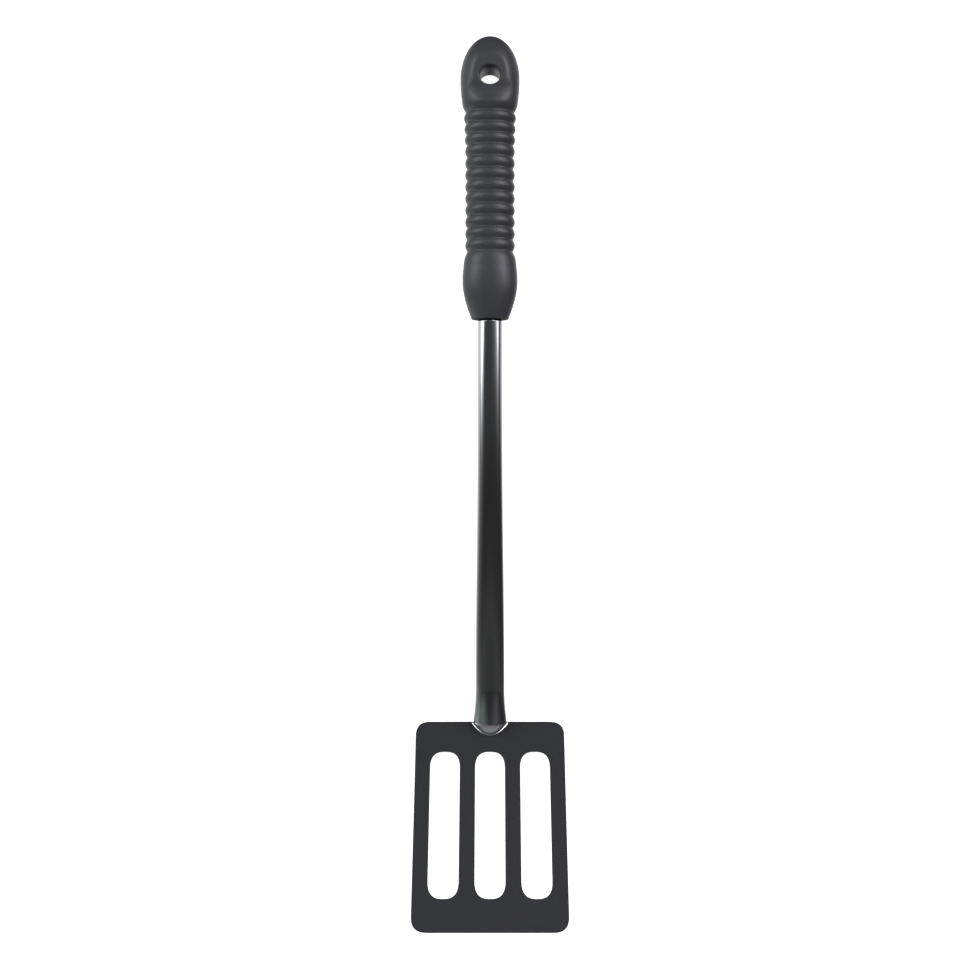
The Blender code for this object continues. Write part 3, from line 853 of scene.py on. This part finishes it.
def build_blade():
    """The sheet with its slots. Each edge is a half-round bead of points, so the
    faces stay flat up to the rounding, and the normals are set to the true ones."""
    outer = soft_rectangle(
        -BLADE_WIDTH / 2, BLADE_WIDTH / 2, -BLADE_LENGTH, 0.0,
        BLADE_CORNER_WIDTH, BLADE_CORNER_LENGTH, BLADE_CORNER_POWER, 24, 40,
    )
    outlines = [(outer, 1.0)]
    for index in range(SLOT_COUNT):
        x0 = -BLADE_WIDTH / 2 + BLADE_UNIT * (1 + 3 * index)
        slot = soft_rectangle(
            x0 + SLOT_TRIM, x0 + 2 * BLADE_UNIT - SLOT_TRIM, -BLADE_LENGTH + SLOT_MARGIN, -SLOT_MARGIN,
            BLADE_UNIT - SLOT_TRIM, SLOT_END_LENGTH, SLOT_END_POWER, 28, 30,
        )
        outlines.append((slot, -1.0))
    r = BLADE_EDGE_ROUND
    thick = BLADE_THICKNESS
    bm = bmesh.new()
    normals = {}
    top_edges, low_edges = [], []
    for outline, sign in outlines:
        facing = outward(outline)
        rows = []
        turns = [90 - 15 * k for k in range(7)] + [-15 * k for k in range(7)]
        for k, deg in enumerate(turns):
            t = math.radians(deg)
            centre_z = -r if k < 7 else -thick + r
            row = []
            for (x, y), (nx, ny) in zip(outline, facing):
                out = (math.cos(t) - 1) * r * sign
                v = bm.verts.new((x + nx * out, y + ny * out, centre_z + math.sin(t) * r))
                normals[v] = (nx * math.cos(t) * sign, ny * math.cos(t) * sign, math.sin(t))
                row.append(v)
            rows.append(row)
        for a, b in zip(rows, rows[1:]):
            for i in range(len(a)):
                j = (i + 1) % len(a)
                bm.faces.new((a[i], a[j], b[j], b[i]))
        for row, bag in ((rows[0], top_edges), (rows[-1], low_edges)):
            for i in range(len(row)):
                bag.append(bm.edges.get((row[i], row[(i + 1) % len(row)])))
    for bag, up in ((top_edges, 1.0), (low_edges, -1.0)):
        bmesh.ops.triangle_fill(bm, edges=bag, use_beauty=True, normal=(0, 0, up))
    bm.verts.index_update()
    bm.verts.ensure_lookup_table()
    points = [tuple(v.co) for v in bm.verts]
    kept = [normals[v] for v in bm.verts]
    bmesh.ops.recalc_face_normals(bm, faces=bm.faces)
    faces = [[v.index for v in f.verts] for f in bm.faces]
    bm.free()
    blade = make_object("turner_blade", points, faces, BLADE)
    turn = BLADE.to_3x3()
    blade.data.normals_split_custom_set_from_vertices(
        [tuple((turn @ Vector(n)).normalized()) for n in kept]
    )
    return blade


# ------------------------------------------------------------------ welds
def sweep(name, path, normals, radius_at, place, round_steps=24, wide=1.0, high=1.0):
    """A bead along a path: path points and the direction that is up at each."""
    skin = Skin()
    rings = []
    count = len(path)
    for i, (p, up) in enumerate(zip(path, normals)):
        before = Vector(path[max(0, i - 1)])
        after = Vector(path[min(count - 1, i + 1)])
        ahead = (after - before).normalized()
        side = ahead.cross(Vector(up)).normalized()
        true_up = side.cross(ahead).normalized()
        r = radius_at(i)
        ring = []
        for k in range(round_steps):
            t = 2 * math.pi * k / round_steps
            offset = side * (math.cos(t) * r * wide) + true_up * (math.sin(t) * r * high)
            ring.append(tuple(Vector(p) + offset))
        rings.append(skin.ring(ring))
    for a, b in zip(rings, rings[1:]):
        skin.bridge(a, b)
    skin.fan(rings[0], tuple(path[0]))
    skin.fan(rings[-1], tuple(path[-1]))
    return make_object(name, skin.points, skin.faces, place)


def bead_radius(radius, count, ripples, depth, taper):
    """Full along the bead with faint weld ripples, and rounded off at its ends."""

    def at(i):
        t = i / (count - 1)
        near_end = min(t, 1 - t) / taper
        end = math.sqrt(max(0.0, 1 - (1 - min(1.0, near_end)) ** 2))
        wave = 1 + depth * math.sin(2 * math.pi * ripples * t)
        return max(0.02, radius * end * wave)

    return at


def build_foot_weld():
    """A bead round the nose, thinner at the middle of its sweep."""
    count = 221
    path = []
    for i in range(count):
        turn = math.pi * (0.87 * i / (count - 1) + 0.065)
        x = 8.83 * math.cos(turn)
        s = WELD_REACH * (1 - (x / WELD_HALF_WIDTH) ** 2)
        path.append((x, -s, 0.06))
    ups = [(0.0, 0.0, 1.0)] * count
    even = bead_radius(FOOT_BEAD_RADIUS, count, 30, 0.012, 0.03)

    def radius(i):
        return even(i) * (0.52 + 0.28 * abs(path[i][0]) / 8.83)

    return sweep("foot_bead", path, ups, radius, BLADE, wide=1.3, high=0.8)


def build_heel_weld():
    count = 121
    back = GAP + HEEL_WELD_RADIUS + 0.35
    y = along(HEEL_U) + back * math.cos(BLADE_TILT) - 0.15
    z = -TUBE_RADIUS - GAP - HEEL_WELD_RADIUS
    half = HEEL_WELD_LENGTH / 2
    path = [(half * (2 * i / (count - 1) - 1), y - 0.1, z + 0.25) for i in range(count)]
    ups = [(0.0, 0.0, -1.0)] * count
    return sweep(
        "heel_bead", path, ups, bead_radius(HEEL_WELD_RADIUS, count, 12, 0.05, 0.05), TOOL
    )


# ------------------------------------------------------------------ materials
def new_material(name):
    made = bpy.data.materials.new(name)
    made.use_nodes = True
    tree = made.node_tree
    return made, tree, tree.nodes["Principled BSDF"]


def node(tree, kind, **settings):
    made = tree.nodes.new(kind)
    for key, value in settings.items():
        if key in made.inputs:
            made.inputs[key].default_value = value
        else:
            setattr(made, key, value)
    return made


def noise(tree, scale, detail=2.0, roughness=0.5, stretch=None):
    """Noise over the object's own place in metres, so scale is repeats per metre."""
    place = tree.nodes.new("ShaderNodeTexCoord")
    made = tree.nodes.new("ShaderNodeTexNoise")
    made.inputs["Scale"].default_value = scale
    made.inputs["Detail"].default_value = detail
    made.inputs["Roughness"].default_value = roughness
    if stretch:
        mapping = tree.nodes.new("ShaderNodeMapping")
        mapping.inputs["Scale"].default_value = stretch
        tree.links.new(place.outputs["Object"], mapping.inputs["Vector"])
        tree.links.new(mapping.outputs["Vector"], made.inputs["Vector"])
    else:
        tree.links.new(place.outputs["Object"], made.inputs["Vector"])
    return made


def ramp(tree, source, low, high, from_low=0.3, from_high=0.7):
    made = tree.nodes.new("ShaderNodeMapRange")
    made.inputs["From Min"].default_value = from_low
    made.inputs["From Max"].default_value = from_high
    made.inputs["To Min"].default_value = low
    made.inputs["To Max"].default_value = high
    tree.links.new(source, made.inputs["Value"])
    return made.outputs["Result"]


def blend_colour(tree, factor, first, second):
    made = tree.nodes.new("ShaderNodeMix")
    made.data_type = "RGBA"
    made.inputs[6].default_value = (*first, 1.0)
    made.inputs[7].default_value = (*second, 1.0)
    tree.links.new(factor, made.inputs[0])
    return made.outputs[2]


def bump(tree, height, distance, strength=1.0, under=None):
    made = tree.nodes.new("ShaderNodeBump")
    made.inputs["Strength"].default_value = strength
    made.inputs["Distance"].default_value = distance
    tree.links.new(height, made.inputs["Height"])
    if under is not None:
        tree.links.new(under, made.inputs["Normal"])
    return made.outputs["Normal"]


def coating_material():
    made, tree, shader = new_material("nonstick_coating_look")
    blotch = noise(tree, 45.0, 3.0, 0.55)
    speck = noise(tree, 3200.0, 2.0, 0.6)
    peel = noise(tree, 900.0, 2.0, 0.5)
    colour = blend_colour(
        tree, ramp(tree, blotch.outputs["Fac"], 0.0, 1.0),
        (0.0181, 0.0187, 0.0211), (0.0201, 0.0206, 0.0230),
    )
    tree.links.new(colour, shader.inputs["Base Color"])
    tree.links.new(ramp(tree, speck.outputs["Fac"], 0.46, 0.56), shader.inputs["Roughness"])
    shader.inputs["IOR"].default_value = 1.45
    normal = bump(tree, peel.outputs["Fac"], 0.00003, 0.5)
    normal = bump(tree, speck.outputs["Fac"], 0.00002, 0.5, normal)
    tree.links.new(normal, shader.inputs["Normal"])
    return made


def chrome_material(name, colour, roughness, wave):
    made, tree, shader = new_material(name)
    shader.inputs["Metallic"].default_value = 1.0
    blotch = noise(tree, 30.0, 3.0, 0.6)
    smudge = noise(tree, 220.0, 3.0, 0.6)
    tint = blend_colour(
        tree, ramp(tree, blotch.outputs["Fac"], 0.0, 1.0),
        colour, tuple(c * 1.02 for c in colour),
    )
    tree.links.new(tint, shader.inputs["Base Color"])
    tree.links.new(
        ramp(tree, smudge.outputs["Fac"], roughness * 0.85, roughness * 1.25),
        shader.inputs["Roughness"],
    )
    ripple = noise(tree, 140.0, 1.0, 0.4)
    tree.links.new(bump(tree, ripple.outputs["Fac"], wave, 0.6), shader.inputs["Normal"])
    return made


def grip_material():
    made, tree, shader = new_material("soft_grip_look")
    blotch = noise(tree, 60.0, 3.0, 0.55)
    grain = noise(tree, 2600.0, 3.0, 0.6)
    colour = blend_colour(
        tree, ramp(tree, blotch.outputs["Fac"], 0.0, 1.0),
        (0.0435, 0.0441, 0.0484), (0.0475, 0.0482, 0.0528),
    )
    tree.links.new(colour, shader.inputs["Base Color"])
    tree.links.new(ramp(tree, grain.outputs["Fac"], 0.34, 0.42), shader.inputs["Roughness"])
    shader.inputs["IOR"].default_value = 1.5
    tree.links.new(
        bump(tree, grain.outputs["Fac"], 0.00003, 0.45), shader.inputs["Normal"]
    )
    return made


def nylon_material():
    made, tree, shader = new_material("rigid_core_look")
    blotch = noise(tree, 120.0, 3.0, 0.6)
    fibre = noise(tree, 1500.0, 3.0, 0.7, (1.0, 0.12, 1.0))
    colour = blend_colour(
        tree, ramp(tree, blotch.outputs["Fac"], 0.0, 1.0),
        (0.016, 0.016, 0.017), (0.024, 0.024, 0.026),
    )
    tree.links.new(colour, shader.inputs["Base Color"])
    tree.links.new(ramp(tree, fibre.outputs["Fac"], 0.38, 0.58), shader.inputs["Roughness"])
    tree.links.new(bump(tree, fibre.outputs["Fac"], 0.00004, 0.5), shader.inputs["Normal"])
    return made


def pin_material():
    made, tree, shader = new_material("spring_steel_look")
    shader.inputs["Metallic"].default_value = 1.0
    line = noise(tree, 2500.0, 2.0, 0.6, (0.04, 1.0, 1.0))
    colour = blend_colour(
        tree, ramp(tree, line.outputs["Fac"], 0.0, 1.0),
        (0.40, 0.40, 0.41), (0.52, 0.52, 0.53),
    )
    tree.links.new(colour, shader.inputs["Base Color"])
    tree.links.new(ramp(tree, line.outputs["Fac"], 0.26, 0.42), shader.inputs["Roughness"])
    tree.links.new(bump(tree, line.outputs["Fac"], 0.00001, 0.6), shader.inputs["Normal"])
    return made


def seal_material():
    made, tree, shader = new_material("seal_painted_shade_look")
    # The seal's near-black colour, darker than any rubber, is partly its own black and partly painted
    # shade for the shadowed gap where the shaft enters the grip.
    grain = noise(tree, 2800.0, 3.0, 0.6)
    colour = blend_colour(
        tree, ramp(tree, grain.outputs["Fac"], 0.0, 1.0),
        (0.0035, 0.0035, 0.0037), (0.0060, 0.0060, 0.0063),
    )
    tree.links.new(colour, shader.inputs["Base Color"])
    tree.links.new(ramp(tree, grain.outputs["Fac"], 0.6, 0.75), shader.inputs["Roughness"])
    shader.inputs["Specular IOR Level"].default_value = 0.25
    tree.links.new(bump(tree, grain.outputs["Fac"], 0.00003, 0.5), shader.inputs["Normal"])
    return made


def floor_material():
    made, tree, shader = new_material("pale_floor")
    cloud = noise(tree, 3.0, 2.0, 0.5)
    colour = blend_colour(
        tree, ramp(tree, cloud.outputs["Fac"], 0.0, 1.0),
        (0.800, 0.800, 0.802), (0.815, 0.815, 0.815),
    )
    tree.links.new(colour, shader.inputs["Base Color"])
    shader.inputs["Roughness"].default_value = 0.9
    shader.inputs["Specular IOR Level"].default_value = 0.0
    shader.inputs["Emission Color"].default_value = (1.0, 1.0, 1.0, 1.0)
    shader.inputs["Emission Strength"].default_value = FLOOR_GLOW
    return made


# ------------------------------------------------------------------ studio
FLOOR_GLOW = 0.90


def build_camera():
    data = bpy.data.cameras.new("camera")
    data.lens = 50.0
    data.sensor_width = 36.0
    data.clip_start = 0.01
    data.clip_end = 50.0
    made = bpy.data.objects.new("camera", data)
    made.location = (0.0, -0.00873, 0.67585)
    made.rotation_euler = (0.0, 0.0, 0.0)
    bpy.context.scene.collection.objects.link(made)
    bpy.context.scene.camera = made
    return made


def build_floor():
    """A pale light table, which is lit a little from below."""
    size = 4.0
    bm = bmesh.new()
    bmesh.ops.create_grid(bm, x_segments=8, y_segments=8, size=size)
    mesh = bpy.data.meshes.new("floor")
    bm.to_mesh(mesh)
    bm.free()
    made = bpy.data.objects.new("floor", mesh)
    bpy.context.scene.collection.objects.link(made)
    mesh.materials.append(floor_material())
    made.visible_glossy = False
    made.visible_diffuse = False
    return made


def math_node(tree, operation, a, b=None, clamp=False):
    made = tree.nodes.new("ShaderNodeMath")
    made.operation = operation
    made.use_clamp = clamp
    for index, value in enumerate((a, b)):
        if value is None:
            continue
        if isinstance(value, (int, float)):
            made.inputs[index].default_value = value
        else:
            tree.links.new(value, made.inputs[index])
    return made.outputs[0]


def step_node(tree, value, low, high, power=1.0):
    """0 below low, 1 above high, smooth between."""
    made = tree.nodes.new("ShaderNodeMapRange")
    made.interpolation_type = "SMOOTHSTEP"
    made.inputs["From Min"].default_value = low
    made.inputs["From Max"].default_value = high
    tree.links.new(value, made.inputs["Value"])
    found = made.outputs["Result"]
    return found if power == 1.0 else math_node(tree, "POWER", found, power)


def scaled(tree, colour, factor):
    """A colour times a number that varies."""
    made = tree.nodes.new("ShaderNodeVectorMath")
    made.operation = "SCALE"
    made.inputs[0].default_value = colour
    tree.links.new(factor, made.inputs["Scale"])
    return made.outputs["Vector"]


def add_vectors(tree, a, b):
    made = tree.nodes.new("ShaderNodeVectorMath")
    made.operation = "ADD"
    tree.links.new(a, made.inputs[0])
    tree.links.new(b, made.inputs[1])
    return made.outputs["Vector"]


def stops(tree, source, marks):
    """A smooth grey curve over 0 to 180 degrees through a few marks."""
    made = tree.nodes.new("ShaderNodeValToRGB")
    made.color_ramp.interpolation = "LINEAR"
    elements = made.color_ramp.elements
    elements.remove(elements[1])
    for index, (degree, value) in enumerate(marks):
        element = elements[0] if index == 0 else elements.new(degree / 180.0)
        element.position = degree / 180.0
        element.color = (value, value, value, 1.0)
    tree.links.new(math_node(tree, "DIVIDE", source, math.pi), made.inputs[0])
    return made.outputs["Color"]


def product(tree, *values):
    found = values[0]
    for value in values[1:]:
        found = math_node(tree, "MULTIPLY", found, value)
    return found


def flipped(tree, value):
    return math_node(tree, "SUBTRACT", 1.0, value)


def build_world():
    """The studio round the table: a dark ceiling, a tall soft panel on each side that
    starts level with the middle of the tool and leans over its handle end, a dim sheet
    between them, a grey wall beyond the blade and white paper low down at the sides."""
    world = bpy.data.worlds.new("studio")
    world.use_nodes = True
    tree = world.node_tree
    tree.nodes.clear()
    place = tree.nodes.new("ShaderNodeTexCoord")
    split = tree.nodes.new("ShaderNodeSeparateXYZ")
    tree.links.new(place.outputs["Generated"], split.inputs[0])
    x, y, z = split.outputs
    # the angle round the tool's long axis, from straight up
    turn = math_node(tree, "ARCTAN2", math_node(tree, "ABSOLUTE", x), z)
    right = step_node(tree, x, -0.02, 0.02)
    left = flipped(tree, right)
    up = step_node(tree, z, -0.05, 0.05)
    rad = math.radians

    # how far a direction is beyond the panels' lower edge, which bows away overhead
    bow = product(tree, math_node(tree, "MULTIPLY", z, z), 0.18, up)
    beyond = math_node(tree, "SUBTRACT", y, bow)

    def rise(edge, fade):
        grown = math_node(
            tree, "EXPONENT",
            math_node(tree, "DIVIDE", math_node(tree, "SUBTRACT", beyond, edge), fade),
        )
        return math_node(tree, "MINIMUM", grown, 1.0)

    end = flipped(tree, step_node(tree, y, 0.46, 0.80))
    low_end = flipped(tree, step_node(tree, y, 0.14, 0.24))
    high = step_node(tree, y, 0.115, 0.185)
    level = step_node(tree, y, 0.0, 0.10)
    left_strip = product(
        tree, left, rise(0.076, 0.0205), low_end,
        step_node(tree, turn, rad(30), rad(68)),
        flipped(tree, step_node(tree, turn, rad(86), rad(96))),
    )
    left_tail = product(
        tree, left, rise(0.10, 0.045), low_end,
        step_node(tree, turn, rad(40), rad(80)),
        flipped(tree, step_node(tree, turn, rad(88), rad(100))),
    )
    right_strip = product(
        tree, right, rise(0.092, 0.0225), low_end,
        step_node(tree, turn, rad(22), rad(62)),
        flipped(tree, step_node(tree, turn, rad(76), rad(92))),
    )
    right_glow = product(
        tree, right, level, level, low_end,
        stops(tree, turn, [(0, 0), (20, 0.02), (33, 0.06), (43, 0.11), (54, 0.18), (66, 0.12),
                           (80, 0.0)]),
    )
    left_box = product(
        tree, left, high, end,
        step_node(tree, turn, rad(14), rad(50)),
        flipped(tree, step_node(tree, turn, rad(56), rad(84))),
    )
    right_box = product(
        tree, right, high, end,
        step_node(tree, turn, rad(8), rad(42)),
        flipped(tree, step_node(tree, turn, rad(50), rad(76))),
    )
    sheet = product(
        tree, step_node(tree, y, 0.11, 0.17), flipped(tree, step_node(tree, y, 0.5, 0.9)),
        flipped(tree, step_node(tree, turn, rad(12), rad(45))),
    )
    short = flipped(tree, step_node(tree, math_node(tree, "ABSOLUTE", y), 0.45, 0.85))
    left_paper = product(
        tree, left, short,
        stops(tree, turn, [(0, 0), (50, 0.0), (64, 0.02), (84, 0.07), (96, 0.12), (109, 0.26),
                           (124, 0.56), (143, 0.98), (160, 1.0), (168, 0.3), (180, 0.08)]),
    )
    right_paper = product(
        tree, right, short,
        stops(tree, turn, [(0, 0), (106, 0.0), (124, 0.12), (145, 0.76), (160, 1.0),
                           (168, 0.3), (180, 0.08)]),
    )
    left_low = product(
        tree, left, level, short,
        stops(tree, turn, [(0, 0), (84, 0.0), (92, 0.66), (100, 0.58), (114, 0.38),
                           (133, 0.26), (150, 0.0)]),
    )
    right_low = product(
        tree, right, level, short,
        stops(tree, turn, [(0, 0), (94, 0.0), (100, 0.08), (115, 0.36), (132, 0.55),
                           (155, 0.0)]),
    )
    ahead = math_node(tree, "MULTIPLY", y, -1.0)
    wall = product(
        tree, step_node(tree, ahead, 0.56, 0.84), step_node(tree, z, -0.2, 0.1)
    )
    near = product(
        tree, step_node(tree, ahead, 0.13, 0.31), flipped(tree, step_node(tree, ahead, 0.58, 0.74))
    )
    lean = math_node(
        tree, "ADD", turn,
        math_node(tree, "MULTIPLY", math_node(tree, "SUBTRACT", ahead, 0.26), 1.2),
    )
    left_streak = product(
        tree, left, near,
        stops(tree, lean, [(0, 0), (18, 0.1), (27, 0.4), (33, 0.7), (43, 1.1), (55, 0.95),
                           (66, 2.2), (78, 4.6), (92, 8.0), (110, 10.0), (124, 9.0),
                           (140, 2.5), (160, 0.6), (180, 0.3)]),
    )
    right_streak = product(
        tree, right, near,
        stops(tree, lean, [(0, 0.1), (10, 0.15), (20, 0.43), (29, 0.8), (38, 1.1), (49, 0.57),
                           (62, 0.0), (70, 0.0), (81, 0.35), (93, 1.05), (110, 2.5),
                           (124, 4.0), (140, 2.0), (160, 0.6), (180, 0.3)]),
    )
    # the dark ceiling has faint bands across it
    across = tree.nodes.new("ShaderNodeMapRange")
    across.inputs["From Min"].default_value = -1.0
    across.inputs["To Max"].default_value = math.pi
    tree.links.new(y, across.inputs["Value"])
    ceiling = stops(
        tree, across.outputs["Result"],
        [(0, 0.50), (36, 0.45), (58, 0.32), (70.2, 0.33), (73.3, 0.34), (74.35, 0.38), (74.85, 0.76),
         (75.15, 0.70), (75.6, 0.54), (77, 0.45), (78.5, 0.37), (83.2, 0.33), (87.5, 0.36),
         (90.5, 0.45), (93.5, 0.55), (98, 0.62), (117, 0.60), (180, 0.60)],
    )
    total = scaled(tree, (0.1, 0.1, 0.102), ceiling)
    for colour, factor in (
        ((2.85, 3.00, 3.12), left_strip),
        ((0.20, 0.20, 0.20), left_tail),
        ((2.50, 2.45, 2.70), right_strip),
        ((1.00, 0.98, 1.06), right_glow),
        ((3.50, 3.68, 3.83), left_box),
        ((4.90, 4.80, 5.30), right_box),
        ((0.27, 0.27, 0.28), sheet),
        ((1.00, 1.00, 1.01), left_paper),
        ((1.00, 1.00, 1.01), right_paper),
        ((1.00, 1.00, 1.02), left_low),
        ((1.00, 1.00, 1.03), right_low),
        ((0.245, 0.24, 0.255), wall),
        ((0.115, 0.14, 0.13), left_streak),
        ((0.060, 0.058, 0.070), right_streak),
    ):
        total = add_vectors(tree, total, scaled(tree, colour, factor))
    studio = tree.nodes.new("ShaderNodeBackground")
    tree.links.new(total, studio.inputs["Color"])
    backdrop = tree.nodes.new("ShaderNodeBackground")
    backdrop.inputs["Color"].default_value = (1.0, 1.0, 1.0, 1.0)
    backdrop.inputs["Strength"].default_value = 1.05
    path = tree.nodes.new("ShaderNodeLightPath")
    mix = tree.nodes.new("ShaderNodeMixShader")
    tree.links.new(path.outputs["Is Camera Ray"], mix.inputs[0])
    tree.links.new(studio.outputs[0], mix.inputs[1])
    tree.links.new(backdrop.outputs[0], mix.inputs[2])
    out = tree.nodes.new("ShaderNodeOutputWorld")
    tree.links.new(mix.outputs[0], out.inputs["Surface"])
    bpy.context.scene.world = world


def build_lights():
    """One big soft light overhead. It lights what is matt and leaves no spot in the
    chrome, as if it were bounced from the ceiling."""
    data = bpy.data.lights.new("ceiling_bounce", "AREA")
    data.shape = "SQUARE"
    data.size = 2.2
    data.energy = 6.0
    made = bpy.data.objects.new("ceiling_bounce", data)
    made.location = (0.0, 0.1, 1.7)
    made.visible_glossy = False
    made.visible_camera = False
    bpy.context.scene.collection.objects.link(made)


# ------------------------------------------------------------------ putting it together
def finish_piece(piece, node_name, look):
    piece.data.materials.clear()
    piece.data.materials.append(look)
    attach(piece, "root")
    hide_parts(node_name)


build_camera()
build_floor()
build_world()
build_lights()
bpy.context.scene.view_settings.view_transform = "Standard"
bpy.context.scene.view_settings.look = "None"

weld_look = chrome_material("polished_weld_look", (0.86, 0.86, 0.87), 0.10, 0.000004)
finish_piece(build_blade(), "blade", coating_material())
finish_piece(
    build_shaft(), "shaft_tube",
    chrome_material("chromed_steel_look", (0.60, 0.605, 0.61), 0.055, 0.000001),
)
finish_piece(build_foot_weld(), "foot_weld", weld_look)
finish_piece(build_heel_weld(), "heel_weld", weld_look)
finish_piece(build_grip(), "grip", grip_material())
finish_piece(build_core(), "handle_core", nylon_material())
finish_piece(build_pin(), "retaining_pin", pin_material())
finish_piece(build_seal(), "mouth_seal", seal_material())
